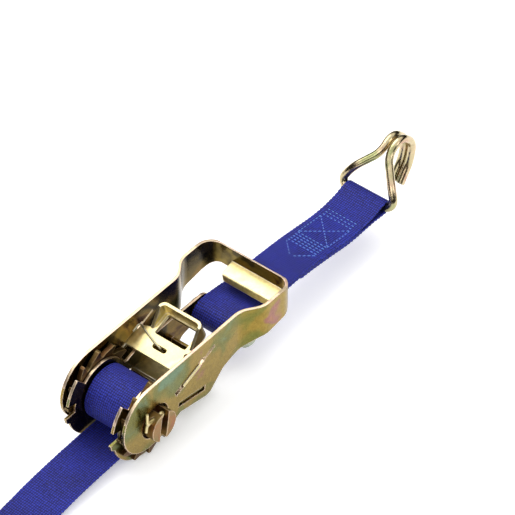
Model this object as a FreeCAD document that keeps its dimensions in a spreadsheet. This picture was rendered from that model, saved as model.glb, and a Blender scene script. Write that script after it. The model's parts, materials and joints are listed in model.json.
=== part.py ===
"""Ratchet tie down for 25 mm webbing: buckle, short strap, long strap and two wire hooks.

Units are millimetres. X runs from the spool to the short strap's hook, Y runs along
the spool, Z is up and the ground is Z = 0. Every piece of the buckle is drawn about
the spool axis, and its Placement carries it to the spool's place above the ground.
"""
import FreeCAD, Part
import Sketcher
import math
import os
from FreeCAD import Placement, Rotation, Vector

document = FreeCAD.newDocument("ratchet_tie_down")

# ---------------------------------------------------------------- driving sizes

DRIVING_SIZES = [
    # where the spool axis stands
    ("axis_along", 22.65),
    ("axis_height", 24.0),
    # webbing
    ("web_width", 25.0),
    ("web_thick", 1.5),
    ("wound_radius", 15.4),
    # half-moon mandrel
    ("mandrel_radius", 8.4),
    ("mandrel_gap", 5.0),
    ("mandrel_reach", 26.0),
    ("mandrel_tilt", 9.0),
    # ratchet wheels
    ("tooth_count", 12.0),
    ("tooth_tip", 22.5),
    ("tooth_root", 18.0),
    ("wheel_inner", 15.1),
    ("wheel_thick", 2.5),
    # frame
    ("frame_inner", 13.3),
    ("frame_plate", 1.5),
    ("frame_low", 24.0),
    ("cam_outer", 25.0),
    ("cam_inner", 17.0),
    ("cam_notch", 19.6),
    ("frame_bore", 9.0),
    ("frame_pawl_angle", 10.0),
    ("bolt_along", 73.0),
    ("bolt_drop", 1.5),
    ("frame_end_round", 8.0),
    ("bridge_top", 12.2),
    ("bridge_plate", 1.5),
    ("stop_along", 51.4),
    # bolt
    ("bolt_radius", 4.0),
    ("sleeve_radius", 5.5),
    ("nut_flat", 5.6),
    # handle
    ("handle_half", 20.2),
    ("handle_plate", 1.6),
    ("handle_top", 23.5),
    ("handle_round", 19.0),
    ("handle_bore", 9.6),
    ("grip_half", 27.0),
    ("grip_end", 98.0),
    ("grip_low", 10.5),
    ("pawl_slot", 3.0),
    # pawls
    ("pawl_angle", 20.0),
    ("pawl_plate", 2.0),
    ("pawl_rest", 25.4),
    ("frame_pawl_rest", 23.2),
    ("pull_rise", 7.6),
    # hooks
    ("hook_wire", 4.5),
    ("hook_along", 190.0),
    ("hook_half", 17.2),
    # long strap
    ("roll_along", -161.5),
    ("roll_radius", 47.3),
]

sheet = document.addObject("Spreadsheet::Sheet", "sizes")
for row, (alias, amount) in enumerate(DRIVING_SIZES, start=1):
    sheet.set("A%d" % row, alias)
    sheet.set("B%d" % row, str(amount))
    sheet.setAlias("B%d" % row, alias)
document.recompute()


class Size:
    """A length or an angle that knows its number and its formula in the sheet."""

    def __init__(self, number, formula):
        self.number = float(number)
        self.formula = formula

    def _join(self, other, sign, number):
        return Size(number, "(%s %s %s)" % (self.formula, sign, size(other).formula))

    def __add__(self, other):
        return self._join(other, "+", self.number + size(other).number)

    def __sub__(self, other):
        return self._join(other, "-", self.number - size(other).number)

    def __mul__(self, other):
        return self._join(other, "*", self.number * size(other).number)

    def __truediv__(self, other):
        return self._join(other, "/", self.number / size(other).number)

    def __radd__(self, other):
        return size(other) + self

    def __rsub__(self, other):
        return size(other) - self

    def __rmul__(self, other):
        return size(other) * self

    def __neg__(self):
        return size(0) - self


def size(value):
    """A plain number, or a size as it is."""
    if isinstance(value, Size):
        return value
    return Size(value, repr(float(value)))


def cell(alias):
    """The size that the sheet holds under this alias."""
    return Size(getattr(sheet, alias), "sizes." + alias)


def round_point(radius, angle):
    """A point on a circle about the origin, at an angle in degrees from across to up."""
    turned = math.radians(angle)
    return (size(radius) * math.cos(turned), size(radius) * math.sin(turned))


# ---------------------------------------------------------------- sketch and feature helpers

def bind(thing, path, value):
    """Tie a property to the sheet."""
    thing.setExpression(path, size(value).formula)


def new_body(label, **where):
    """An empty body, placed by place()."""
    body = document.addObject("PartDesign::Body", label)
    body.Label = label
    body.AllowCompound = True
    place(body, **where)
    return body


def place(thing, along=0, across=0, up=0, lean=0, facing=0):
    """Put a piece at a point given from the spool axis.

    A positive lean lifts its +X side; facing then turns it about the upright.
    """
    along = cell("axis_along") + along
    up = cell("axis_height") + up
    turned = Rotation(Vector(0, 0, 1), facing).multiply(
        Rotation(Vector(0, -1, 0), size(lean).number))
    thing.Placement = Placement(Vector(along.number, size(across).number, up.number), turned)
    bind(thing, "Placement.Base.x", along)
    bind(thing, "Placement.Base.y", across)
    bind(thing, "Placement.Base.z", up)


def new_sketch(body, name, plane, turned=0):
    """An empty sketch on one of the body's own origin planes, turned about its normal."""
    sketch = body.newObject("Sketcher::SketchObject", name)
    support = [item for item in body.Origin.OriginFeatures if item.Role == plane][0]
    sketch.AttachmentSupport = [(support, "")]
    sketch.MapMode = "FlatFace"
    sketch.AttachmentOffset = Placement(Vector(), Rotation(Vector(0, 0, 1), turned))
    return sketch


def fix_point(sketch, geometry, end, across, up):
    """Hold one point of the sketch at a place that the sheet gives."""
    for kind, value in (("DistanceX", size(across)), ("DistanceY", size(up))):
        index = sketch.addConstraint(
            Sketcher.Constraint(kind, -1, 1, geometry, end, value.number))
        bind(sketch, "Constraints[%d]" % index, value)


def fix_radius(sketch, geometry, radius):
    """Hold an arc's or a circle's radius."""
    index = sketch.addConstraint(
        Sketcher.Constraint("Radius", geometry, size(radius).number))
    bind(sketch, "Constraints[%d]" % index, radius)


def add_arc(sketch, first, last, radius):
    """An arc under half a turn; a positive radius keeps its centre on the left."""
    chord = last - first
    rise = math.sqrt(max(radius * radius - chord.Length ** 2 / 4, 0))
    side = Vector(-chord.y, chord.x, 0).normalize() * math.copysign(rise, radius)
    centre = (first + last) * 0.5 + side
    starts = math.atan2(first.y - centre.y, first.x - centre.x)
    stops = math.atan2(last.y - centre.y, last.x - centre.x)
    ends = (1, 2)
    if radius < 0:
        starts, stops, ends = stops, starts, (2, 1)
    circle = Part.Circle(centre, Vector(0, 0, 1), abs(radius))
    return sketch.addGeometry(Part.ArcOfCircle(circle, starts, stops)), ends


def draw_outline(sketch, corners):
    """A closed outline. A corner is (across, up), or (across, up, rounding).

    A corner (across, up, "bend", radius) starts an arc of that radius, which ends at the
    next corner; a positive radius keeps the arc's centre on the left.
    """
    points = [Vector(size(c[0]).number, size(c[1]).number, 0) for c in corners]
    count = len(corners)
    bends = [c[3] if len(c) == 4 else None for c in corners]
    rounds = [c[2] if len(c) == 3 else None for c in corners]
    enters = list(points)
    leaves = list(points)
    for i, radius in enumerate(rounds):
        if radius is None:
            continue
        back = (points[i - 1] - points[i]).normalize()
        ahead = (points[(i + 1) % count] - points[i]).normalize()
        reach = size(radius).number / math.tan(back.getAngle(ahead) / 2)
        enters[i] = points[i] + back * reach
        leaves[i] = points[i] + ahead * reach
    pieces = []
    for i in range(count):
        first, last = leaves[i], enters[(i + 1) % count]
        if bends[i] is not None:
            index, ends = add_arc(sketch, first, last, size(bends[i]).number)
            pieces.append((index, ends))
            fix_radius(sketch, index, abs_size(bends[i]))
        else:
            pieces.append((sketch.addGeometry(Part.LineSegment(first, last)), (1, 2)))
    for i in range(count):
        before, after = pieces[i - 1], pieces[i]
        if rounds[i] is None:
            sketch.addConstraint(Sketcher.Constraint(
                "Coincident", before[0], before[1][1], after[0], after[1][0]))
            fix_point(sketch, after[0], after[1][0], corners[i][0], corners[i][1])
            continue
        turn = (points[i] - points[i - 1]).cross(points[(i + 1) % count] - points[i]).z
        radius = math.copysign(size(rounds[i]).number, turn)
        arc, ends = add_arc(sketch, enters[i], leaves[i], radius)
        corner = sketch.addGeometry(Part.Point(points[i]), True)
        fix_point(sketch, corner, 1, corners[i][0], corners[i][1])
        for side in (before[0], after[0]):
            sketch.addConstraint(Sketcher.Constraint("PointOnObject", corner, 1, side))
        sketch.addConstraint(Sketcher.Constraint(
            "Tangent", before[0], before[1][1], arc, ends[0]))
        sketch.addConstraint(Sketcher.Constraint(
            "Tangent", arc, ends[1], after[0], after[1][0]))
        fix_radius(sketch, arc, rounds[i])


def abs_size(value):
    """The size without its sign."""
    value = size(value)
    return value if value.number >= 0 else -value


def draw_circle(sketch, across, up, radius):
    """A circle held by its centre and radius."""
    circle = Part.Circle(
        Vector(size(across).number, size(up).number, 0), Vector(0, 0, 1), size(radius).number)
    index = sketch.addGeometry(circle)
    fix_point(sketch, index, 3, across, up)
    fix_radius(sketch, index, radius)


def box_corners(low_across, low_up, high_across, high_up, rounding=None):
    """The corners of a rectangle, counter-clockwise."""
    corners = [(low_across, low_up), (high_across, low_up),
               (high_across, high_up), (low_across, high_up)]
    if rounding is None:
        return corners
    return [corner + (rounding,) for corner in corners]


def pad(body, sketch, length, both_ways=False, backwards=False):
    """Thicken a sketch along its normal."""
    feature = body.newObject("PartDesign::Pad", sketch.Name + "_pad")
    feature.Profile = sketch
    feature.Length = size(length).number
    bind(feature, "Length", length)
    feature.Midplane = both_ways
    feature.Reversed = backwards
    return feature


def cut(body, sketch, length=None, both_ways=True, backwards=False):
    """Cut a sketch out of the body: all the way through, or by a length."""
    before = body.Shape.Volume
    feature = body.newObject("PartDesign::Pocket", sketch.Name + "_cut")
    feature.Profile = sketch
    feature.Midplane = both_ways
    feature.Reversed = backwards
    if length is None:
        feature.Type = "ThroughAll"
    else:
        feature.Length = size(length).number
        bind(feature, "Length", length)
    document.recompute()
    if not body.Shape.Volume < before - 0.01:
        raise RuntimeError("nothing was cut by " + feature.Name)
    return feature


def cut_outline(body, name, plane, corners, **how):
    """Cut one closed outline out of the body."""
    document.recompute()
    sketch = new_sketch(body, name, plane)
    draw_outline(sketch, corners)
    return cut(body, sketch, **how)


def cut_circle(body, name, plane, across, up, radius, **how):
    """Cut one round hole out of the body."""
    document.recompute()
    sketch = new_sketch(body, name, plane)
    draw_circle(sketch, across, up, radius)
    return cut(body, sketch, **how)


def slanted_slot(angle, near, far, width, tail=None, tail_width=0.0):
    """A slot along a line through the spool axis, with an optional narrow tail."""
    turned = math.radians(angle)
    along = (math.cos(turned), math.sin(turned))
    half = size(width) / 2
    thin = size(tail_width) / 2
    runs = [(near, -half), (far, -half), (far, half), (near, half)]
    if tail is not None:
        runs[2:2] = [(far, -thin), (tail, -thin), (tail, thin), (far, thin)]
    return [(size(out) * along[0] - side * along[1], size(out) * along[1] + side * along[0])
            for out, side in runs]


def wire_piece(points, radii, wire_radius):
    """A round wire along straight runs joined by tangent arcs, as one solid."""
    edges = rounded_edges(points, radii)
    path = Part.Wire(edges)
    start = edges[0].Vertexes[0].Point
    heading = edges[0].tangentAt(edges[0].FirstParameter)
    section = Part.Wire(Part.makeCircle(wire_radius, start, heading))
    return path.makePipeShell([section], True, True)


def rounded_edges(points, radii):
    """Straight edges between the points, with an arc of the given radius at each inner one."""
    points = [Vector(*p) for p in points]
    edges = []
    start = points[0]
    for i in range(1, len(points) - 1):
        back = (points[i - 1] - points[i]).normalize()
        ahead = (points[i + 1] - points[i]).normalize()
        half = back.getAngle(ahead) / 2
        reach = radii[i - 1] / math.tan(half)
        first = points[i] + back * reach
        last = points[i] + ahead * reach
        middle_way = (back + ahead).normalize()
        middle = points[i] + middle_way * (radii[i - 1] / math.sin(half) - radii[i - 1])
        edges.append(Part.LineSegment(start, first).toShape())
        edges.append(Part.Arc(first, middle, last).toShape())
        start = last
    edges.append(Part.LineSegment(start, points[-1]).toShape())
    return edges


def plain_piece(label, shape, **where):
    """A piece whose shape was made directly, placed by place()."""
    piece = document.addObject("Part::Feature", label)
    piece.Label = label
    piece.Shape = shape
    place(piece, **where)
    return piece


pieces = []

# ---------------------------------------------------------------- frame

FRAME_OUTER = cell("frame_inner") + cell("frame_plate")
BOLT_UP = -cell("bolt_drop")
BRIDGE_START = 27.0
OUTSIDE = 40.0
BOLT_SLACK = 0.05
TOE_ANGLE = 181.0
NOTCH_ANGLE = 165.0
RELEASE_ANGLE = 132.0
DRIVE_ANGLE = 30.0
LOW_START_ANGLE = 192.0
LOW_END_ANGLE = 291.0


def make_frame():
    """Both side plates and the bridge that joins them, stamped from one sheet."""
    body = new_body("frame")
    low, outer, inner = cell("frame_low"), cell("cam_outer"), cell("cam_inner")
    notch = cell("cam_notch")
    end_round = cell("frame_end_round")
    bolt = cell("bolt_along")
    side = new_sketch(body, "frame_side", "XZ_Plane")
    draw_outline(side, [
        round_point(notch, TOE_ANGLE),
        round_point(outer + 1.2, TOE_ANGLE),
        round_point(outer + 0.8, 188.0),
        round_point(low, LOW_START_ANGLE) + ("bend", low),
        round_point(low, 270.0) + ("bend", low),
        round_point(low, LOW_END_ANGLE),
        (27.5, -15.0, 10.0),
        (bolt - 19.0, -14.6, 4.0),
        (bolt - 13.0, -9.6, 6.0),
        (bolt - 4.0, BOLT_UP - end_round + 1.6, 6.0),
        (bolt + end_round, BOLT_UP - end_round + 1.6, 6.5),
        (bolt + end_round, BOLT_UP + end_round - 0.4, 6.5),
        (bolt - 14.0, BOLT_UP + end_round, 8.0),
        (26.0, 6.8, 8.0),
        (18.6, 4.5),
        round_point(inner + 0.4, 17.0),
        round_point(inner, DRIVE_ANGLE) + ("bend", inner),
        round_point(inner, RELEASE_ANGLE),
        round_point(outer, RELEASE_ANGLE) + ("bend", outer),
        round_point(outer, NOTCH_ANGLE),
        round_point(notch, NOTCH_ANGLE) + ("bend", notch),
    ])
    pad(body, side, FRAME_OUTER * 2, both_ways=True)
    document.recompute()
    top = -cell("bridge_top")
    stop = cell("stop_along")
    under = top - cell("bridge_plate")
    cut_outline(body, "frame_inside", "XZ_Plane", [
        (-OUTSIDE, -OUTSIDE), (BRIDGE_START, -OUTSIDE), (BRIDGE_START, top), (stop, top),
        (stop, top + 7.0), (stop + cell("bridge_plate"), top + 7.0),
        (stop + cell("bridge_plate"), under), (stop + 2.0, -OUTSIDE), (bolt + OUTSIDE, -OUTSIDE),
        (bolt + OUTSIDE, OUTSIDE), (-OUTSIDE, OUTSIDE)],
        length=cell("frame_inner") * 2)
    cut_outline(body, "under_bridge", "XZ_Plane", [
        (BRIDGE_START - 1.0, -OUTSIDE), (stop + 3.0, -OUTSIDE), (stop + 3.0, under),
        (BRIDGE_START - 1.0, under)], length=cell("frame_inner") * 2)
    cut_circle(body, "frame_bore_hole", "XZ_Plane", 0, 0, cell("frame_bore"))
    cut_circle(body, "frame_bolt_hole", "XZ_Plane", bolt, BOLT_UP, cell("bolt_radius") + BOLT_SLACK)
    cut_outline(body, "frame_pawl_slot", "XZ_Plane",
                slanted_slot(-cell("frame_pawl_angle").number, 18.6, 41.0, 2.6))
    pieces.append(body)


# ---------------------------------------------------------------- handle

HANDLE_SLOT_ANGLE = 20.0
SIGHT_SLOT_ANGLE = -10.0
FLARE_START = 65.0
FLARE_END = 74.5
HANDLE_BACK = -60.0
FLARE_ROUND = 12.0
GRIP_CORNER = 9.0
LIP_NEAR = 22.0
LIP_FAR = 11.5
LIP_ROUND = 4.0


def plan_outline(half, wide, end, corner):
    """The lever seen from above: straight, flared, then a round-cornered end."""
    return [
        (HANDLE_BACK, -half), (FLARE_START, -half, FLARE_ROUND), (FLARE_END, -wide, FLARE_ROUND),
        (end, -wide, corner), (end, wide, corner), (FLARE_END, wide, FLARE_ROUND),
        (FLARE_START, half, FLARE_ROUND), (HANDLE_BACK, half)]


def make_handle():
    """The lever: two flared side plates joined by the grip, and the grip's rolled-in lip."""
    body = new_body("handle")
    top = cell("handle_top")
    round_radius = cell("handle_round")
    grip = cell("grip_end")
    side = new_sketch(body, "handle_side", "XZ_Plane")
    middle = (-3.5, top - round_radius)
    draw_outline(side, [
        (middle[0], top, "bend", round_radius),
        (middle[0] - round_radius, middle[1], "bend", round_radius),
        (middle[0], middle[1] - round_radius),
        (7.0, -13.6),
        (18.6, -8.7),
        (37.5, -12.8),
        (41.0, -12.2, 2.0),
        (50.5, -3.6, 6.0),
        (58.0, -1.4, 10.0),
        (67.0, 0.4, 8.0),
        (72.5, 3.6, 5.0),
        (82.0, 4.8, 8.0),
        (91.0, 6.0, 6.0),
        (grip, cell("grip_low")),
        (grip, top - 1.2, 1.5),
        (86.0, top),
    ])
    pad(body, side, cell("grip_half") * 2, both_ways=True)
    document.recompute()
    plate = cell("handle_plate")
    outside = new_sketch(body, "handle_outside", "XY_Plane")
    draw_outline(outside, plan_outline(
        cell("handle_half"), cell("grip_half"), grip, GRIP_CORNER))
    draw_outline(outside, box_corners(HANDLE_BACK - 20.0, -60.0, 130.0, 60.0))
    cut(body, outside)
    cut_outline(body, "handle_inside", "XY_Plane", plan_outline(
        cell("handle_half") - plate, cell("grip_half") - plate, grip - plate,
        GRIP_CORNER - plate))
    cut_circle(body, "handle_bore_hole", "XZ_Plane", 0, 0, cell("handle_bore"))
    cut_outline(body, "handle_pawl_slot", "XZ_Plane",
                slanted_slot(HANDLE_SLOT_ANGLE, 16.2, 39.0, cell("pawl_slot"),
                             tail=47.3, tail_width=1.4))
    cut_outline(body, "sight_slot", "XZ_Plane",
                slanted_slot(SIGHT_SLOT_ANGLE, 17.6, 37.4, 2.8))
    lip = new_sketch(body, "lip_section", "XZ_Plane")
    inner_face = grip - plate
    draw_outline(lip, [
        (inner_face + 0.8, 13.1), (inner_face + 0.8, 14.9), (87.6, 13.0, 1.9), (86.0, 10.4),
        (87.1, 9.8), (88.3, 11.6, 0.5)])
    rolled = pad(body, lip, LIP_NEAR)
    rolled.SideType = "Two sides"
    rolled.Length2 = LIP_FAR
    document.recompute()
    cut_outline(body, "lip_corner", "XY_Plane", [
        (84.0, LIP_FAR + 1.0), (84.0, LIP_FAR - LIP_ROUND),
        (86.0, LIP_FAR - LIP_ROUND, "bend", -LIP_ROUND), (86.0 + LIP_ROUND, LIP_FAR),
        (86.0 + LIP_ROUND, LIP_FAR + 1.0)])
    pieces.append(body)


# ---------------------------------------------------------------- pawls

def make_handle_pawl():
    """Sliding plate in the lever: ears in the slots, window, and a bent-up finger pull."""
    body = new_body("handle_pawl", lean=cell("pawl_angle"))
    rest = cell("pawl_rest")
    wide = cell("handle_half") - cell("handle_plate") - 0.5
    ear = cell("handle_half") + 0.6
    plate = cell("pawl_plate")
    outline = new_sketch(body, "pawl_outline", "XY_Plane")
    right = [(rest, -wide), (rest - 3.5, -wide), (rest - 3.5, -ear), (rest + 9.4, -ear),
             (rest + 9.4, -wide), (rest + 12.0, -wide, 2.0), (rest + 14.0, -13.0),
             (rest + 26.0, -13.0, 3.5)]
    left = [(corner[0], -size(corner[1])) + corner[2:] for corner in reversed(right)]
    draw_outline(outline, right + left)
    pad(body, outline, plate, both_ways=True)
    document.recompute()
    wall = new_sketch(body, "pull_wall", "XY_Plane")
    draw_outline(wall, [
        (rest + 13.0, -13.0), (rest + 26.0, -13.0, 3.5), (rest + 26.0, 13.0, 3.5),
        (rest + 13.0, 13.0), (rest + 13.0, 11.4), (rest + 24.4, 11.4, 2.0),
        (rest + 24.4, -11.4, 2.0), (rest + 13.0, -11.4)])
    pad(body, wall, cell("pull_rise") + plate / 2)
    document.recompute()
    cut_outline(body, "pull_slope", "XZ_Plane", [
        (rest + 10.0, plate / 2), (rest + 13.2, plate / 2), (rest + 22.5, cell("pull_rise") + plate / 2),
        (rest + 22.5, 20.0), (rest + 10.0, 20.0)])
    cut_outline(body, "pull_window", "XY_Plane",
                box_corners(rest + 12.0, -9.6, rest + 23.4, 9.6, 1.0))
    cut_outline(body, "spring_slot", "XY_Plane",
                box_corners(rest + 5.0, -2.2, rest + 7.6, 6.0, 1.2))
    cut_circle(body, "pull_hole", "XY_Plane", rest + 9.6, -12.6, 1.6)
    pieces.append(body)


def make_frame_pawl():
    """Sliding plate in the frame: its ears reach through the frame's slots to the wheels."""
    body = new_body("frame_pawl", lean=-cell("frame_pawl_angle"))
    rest = cell("frame_pawl_rest")
    wide = cell("frame_inner") - 0.4
    ear = cell("wheel_inner") + cell("wheel_thick") + 0.4
    outline = new_sketch(body, "frame_pawl_outline", "XY_Plane")
    right = [(rest, -ear), (rest + 11.5, -ear), (rest + 11.5, -wide), (rest + 15.0, -wide, 1.5)]
    left = [(corner[0], -size(corner[1])) + corner[2:] for corner in reversed(right)]
    draw_outline(outline, right + left)
    pad(body, outline, cell("pawl_plate"), both_ways=True)
    document.recompute()
    tab = new_sketch(body, "spring_tab", "XY_Plane")
    draw_outline(tab, box_corners(rest + 13.4, -6.0, rest + 15.0, 6.0))
    pad(body, tab, 3.0, both_ways=True)
    document.recompute()
    pieces.append(body)


# ---------------------------------------------------------------- springs

SPRING_TURNS = 7


def make_springs():
    """The coil spring behind the frame pawl and the bent wire spring on the lever's pawl."""
    coil_wire = 0.4
    coil_radius = 1.9
    tail = cell("frame_pawl_rest").number + 15.0
    lean = -cell("frame_pawl_angle").number
    stop = cell("stop_along").number / math.cos(math.radians(lean))
    length = stop - tail - 2 * coil_wire - 0.6
    helix = Part.makeHelix(length / SPRING_TURNS, length, coil_radius)
    section = Part.Wire(Part.makeCircle(coil_wire, Vector(coil_radius, 0, 0), Vector(0, 1, 0)))
    coil = Part.Wire(helix.Edges).makePipeShell([section], True, True)
    coil.rotate(Vector(), Vector(0, 1, 0), 90)
    coil.translate(Vector(tail + coil_wire + 0.3, 0, 0))
    coil = Part.makeCompound([coil])
    pieces.append(plain_piece("frame_pawl_spring", coil, lean=lean))

    rest = cell("pawl_rest").number
    top = cell("pawl_plate").number / 2
    thick = 0.55
    lie = top + thick + 0.05
    leg = wire_piece([
        (rest + 6.3, 1.0, -top - 1.2), (rest + 6.3, 1.0, lie), (rest + 7.2, 5.0, lie),
        (rest + 10.8, 14.6, lie), (rest + 10.8, 16.4, lie + 4.4), (rest + 5.6, 16.4, lie + 4.4)],
        [0.9, 3.0, 3.0, 1.4], thick)
    ring = Part.makeTorus(2.4, thick, Vector(rest + 5.6, 16.4, lie + 2.0), Vector(0, 1, 0))
    spring = plain_piece("handle_pawl_spring", leg.fuse(ring), lean=cell("pawl_angle"))
    pieces.append(spring)


# ---------------------------------------------------------------- spool

PIN_INSET = 3.0
PIN_UP = 5.2
KEY_SLACK = 0.1


def half_moon(grow=0.0, spread=0.0):
    """A half-moon outline beside the strap slot, on the +across side."""
    radius = cell("mandrel_radius") + grow
    near = cell("mandrel_gap") / 2 - spread
    up = math.sqrt(radius.number ** 2 - near.number ** 2)
    return [(near, -up, "bend", radius), (radius, 0.0, "bend", radius), (near, up)]


def make_mandrel():
    """Two half-moon shafts with the strap slot between them."""
    for label, lean in (("mandrel_half_front", 0.0), ("mandrel_half_rear", 180.0)):
        body = new_body(label, lean=lean - cell("mandrel_tilt").number)
        section = new_sketch(body, label + "_section", "XZ_Plane")
        draw_outline(section, half_moon())
        pad(body, section, cell("mandrel_reach") * 2, both_ways=True)
        document.recompute()
        pieces.append(body)
    for side, sign in (("near", -1), ("far", 1)):
        cut_circle(body, label + "_pin_hole_" + side, "YZ_Plane",
                   sign * (cell("mandrel_reach") - PIN_INSET), -PIN_UP, 1.35)


def make_wheels():
    """Two twelve-tooth wheels, each with two half-moon holes that key it on the mandrel."""
    step = 360.0 / cell("tooth_count").number
    tip, root = cell("tooth_tip"), cell("tooth_root")
    steep = cell("pawl_angle").number + 4.0
    for label, sign in (("ratchet_wheel_near", -1), ("ratchet_wheel_far", 1)):
        middle = sign * (cell("wheel_inner") + cell("wheel_thick") / 2)
        body = new_body(label, across=middle)
        disc = new_sketch(body, label + "_disc", "XZ_Plane")
        draw_circle(disc, 0, 0, root)
        pad(body, disc, cell("wheel_thick"), both_ways=True)
        document.recompute()
        tooth = new_sketch(body, label + "_tooth", "XZ_Plane")
        draw_outline(tooth, [
            round_point(root - 1.5, steep + 1.5), round_point(tip, steep),
            round_point(tip, steep + 3.5), round_point(root + 1.6, steep + 17.0),
            round_point(root - 0.4, steep + 27.0), round_point(root - 2.0, steep + 16.0)])
        first = pad(body, tooth, cell("wheel_thick"), both_ways=True)
        document.recompute()
        ring = body.newObject("PartDesign::PolarPattern", label + "_teeth")
        ring.Originals = [first]
        ring.Axis = (tooth, ["N_Axis"])
        ring.Angle = 360.0
        ring.Occurrences = int(cell("tooth_count").number)
        bind(ring, "Occurrences", cell("tooth_count"))
        body.Tip = ring
        document.recompute()
        for name, turn in (("front", 0.0), ("rear", 180.0)):
            hole = new_sketch(body, "%s_%s_hole" % (label, name), "XZ_Plane",
                              turned=turn - cell("mandrel_tilt").number)
            draw_outline(hole, half_moon(grow=KEY_SLACK, spread=KEY_SLACK))
            cut(body, hole)
        pieces.append(body)


def make_cotter_pins():
    """A split pin through the rear half-moon outside each lever plate.

    Its eye lies in the strap slot and its legs are bent apart behind the shaft.
    """
    shank_radius = 1.2
    eye_radius = 1.6
    reach = cell("mandrel_radius").number
    lean = -cell("mandrel_tilt").number
    for label, sign in (("cotter_pin_near", -1), ("cotter_pin_far", 1)):
        across = sign * (cell("mandrel_reach") - PIN_INSET)
        shank = Part.makeCylinder(
            shank_radius, reach - 0.2, Vector(-reach - 1.4, 0, PIN_UP), Vector(1, 0, 0))
        eye = Part.makeTorus(eye_radius, 0.75, Vector(0, 0, PIN_UP), Vector(0, 1, 0))
        shape = shank.fuse(eye)
        for up in (-1, 1):
            leg = wire_piece([
                (-reach - 0.2, 0, PIN_UP + 0.1 * up), (-reach - 1.5, 0, PIN_UP + 0.55 * up),
                (-reach - 2.3 - up * 0.3, sign * 0.2, PIN_UP + up * (5.6 + up))],
                [0.9], 0.75)
            shape = shape.fuse(leg)
        pieces.append(plain_piece(label, shape, across=across, lean=lean))


def make_wound_strap():
    """The turns of webbing on the mandrel, as one plain drum."""
    body = new_body("wound_strap")
    drum = new_sketch(body, "drum", "XZ_Plane")
    draw_circle(drum, 0, 0, cell("wound_radius"))
    draw_circle(drum, 0, 0, cell("mandrel_radius") + KEY_SLACK)
    pad(body, drum, cell("web_width"), both_ways=True)
    document.recompute()
    pieces.append(body)


# ---------------------------------------------------------------- bolt

def make_bolt():
    """The cross bolt, its sleeve and its domed lock nut."""
    outer = FRAME_OUTER.number
    bolt, up = cell("bolt_along"), BOLT_UP
    radius = cell("bolt_radius").number
    flat = cell("nut_flat").number

    head = Part.makeCylinder(flat, 2.6, Vector(0, outer + 0.1, 0), Vector(0, 1, 0))
    head = head.makeFillet(2.0, [edge for edge in head.Edges if edge.BoundBox.YMin > outer + 2])
    shank = Part.makeCylinder(radius, 2 * outer + 5.0, Vector(0, -outer - 4.8, 0), Vector(0, 1, 0))
    pieces.append(plain_piece("strap_bolt", shank.fuse(head), along=bolt, up=up))

    corners = [Vector(flat / math.cos(math.pi / 6) * math.cos(math.radians(60 * k)),
                      -outer - 0.1,
                      flat / math.cos(math.pi / 6) * math.sin(math.radians(60 * k)))
               for k in range(7)]
    hexagon = Part.Face(Part.makePolygon(corners)).extrude(Vector(0, -5.6, 0))
    dome = Part.makeSphere(7.2, Vector(0, -outer + 0.7, 0))
    nut = hexagon.common(dome)
    bore = Part.makeCylinder(radius + BOLT_SLACK, 4.9, Vector(0, -outer - 4.9, 0), Vector(0, 1, 0))
    pieces.append(plain_piece("strap_bolt_nut", nut.cut(bore), along=bolt, up=up))

    body = new_body("bolt_sleeve", along=bolt, up=up)
    ring = new_sketch(body, "sleeve_ring", "XZ_Plane")
    draw_circle(ring, 0, 0, cell("sleeve_radius"))
    draw_circle(ring, 0, 0, cell("bolt_radius") + 0.1)
    pad(body, ring, (cell("frame_inner") - 0.2) * 2, both_ways=True)
    document.recompute()
    pieces.append(body)


# ---------------------------------------------------------------- short strap

HOOK_BAR_UP = -2.7
LOOP_SLACK = 0.3


def make_fixed_strap():
    """The short strap: a sewn loop of doubled webbing from the bolt to the hook."""
    body = new_body("fixed_strap")
    thick = cell("web_thick")
    bolt_loop = cell("sleeve_radius") + LOOP_SLACK + thick
    hook_loop = cell("hook_wire") / 2 + LOOP_SLACK + thick
    bolt, hook = cell("bolt_along"), cell("hook_along")
    side = new_sketch(body, "strap_side", "XZ_Plane")
    low_loop = BOLT_UP - bolt_loop
    draw_outline(side, [
        (bolt, BOLT_UP + bolt_loop, "bend", bolt_loop),
        (bolt - bolt_loop, BOLT_UP, "bend", bolt_loop),
        (bolt, low_loop),
        (bolt + 8.0, low_loop + 1.2, 6.0),
        (bolt + 26.0, -1.0, 20.0),
        (130.0, -1.2, 60.0),
        (162.0, -5.6, 30.0),
        (hook - 9.0, -4.8, 10.0),
        (hook - 3.0, HOOK_BAR_UP - hook_loop, 3.0),
        (hook, HOOK_BAR_UP - hook_loop, "bend", hook_loop),
        (hook + hook_loop, HOOK_BAR_UP, "bend", hook_loop),
        (hook, HOOK_BAR_UP + hook_loop),
        (hook - 3.0, HOOK_BAR_UP + hook_loop, 3.0),
        (hook - 10.0, -1.4, 10.0),
        (162.0, -2.4, 30.0),
        (130.0, 2.0, 60.0),
        (bolt + 20.0, 3.6, 20.0),
    ])
    pad(body, side, cell("web_width"), both_ways=True)
    document.recompute()
    cut_circle(body, "bolt_eye", "XZ_Plane", bolt, BOLT_UP, cell("sleeve_radius") + LOOP_SLACK)
    cut_circle(body, "hook_eye", "XZ_Plane", hook, HOOK_BAR_UP,
               cell("hook_wire") / 2 + LOOP_SLACK)
    pieces.append(body)


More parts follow.
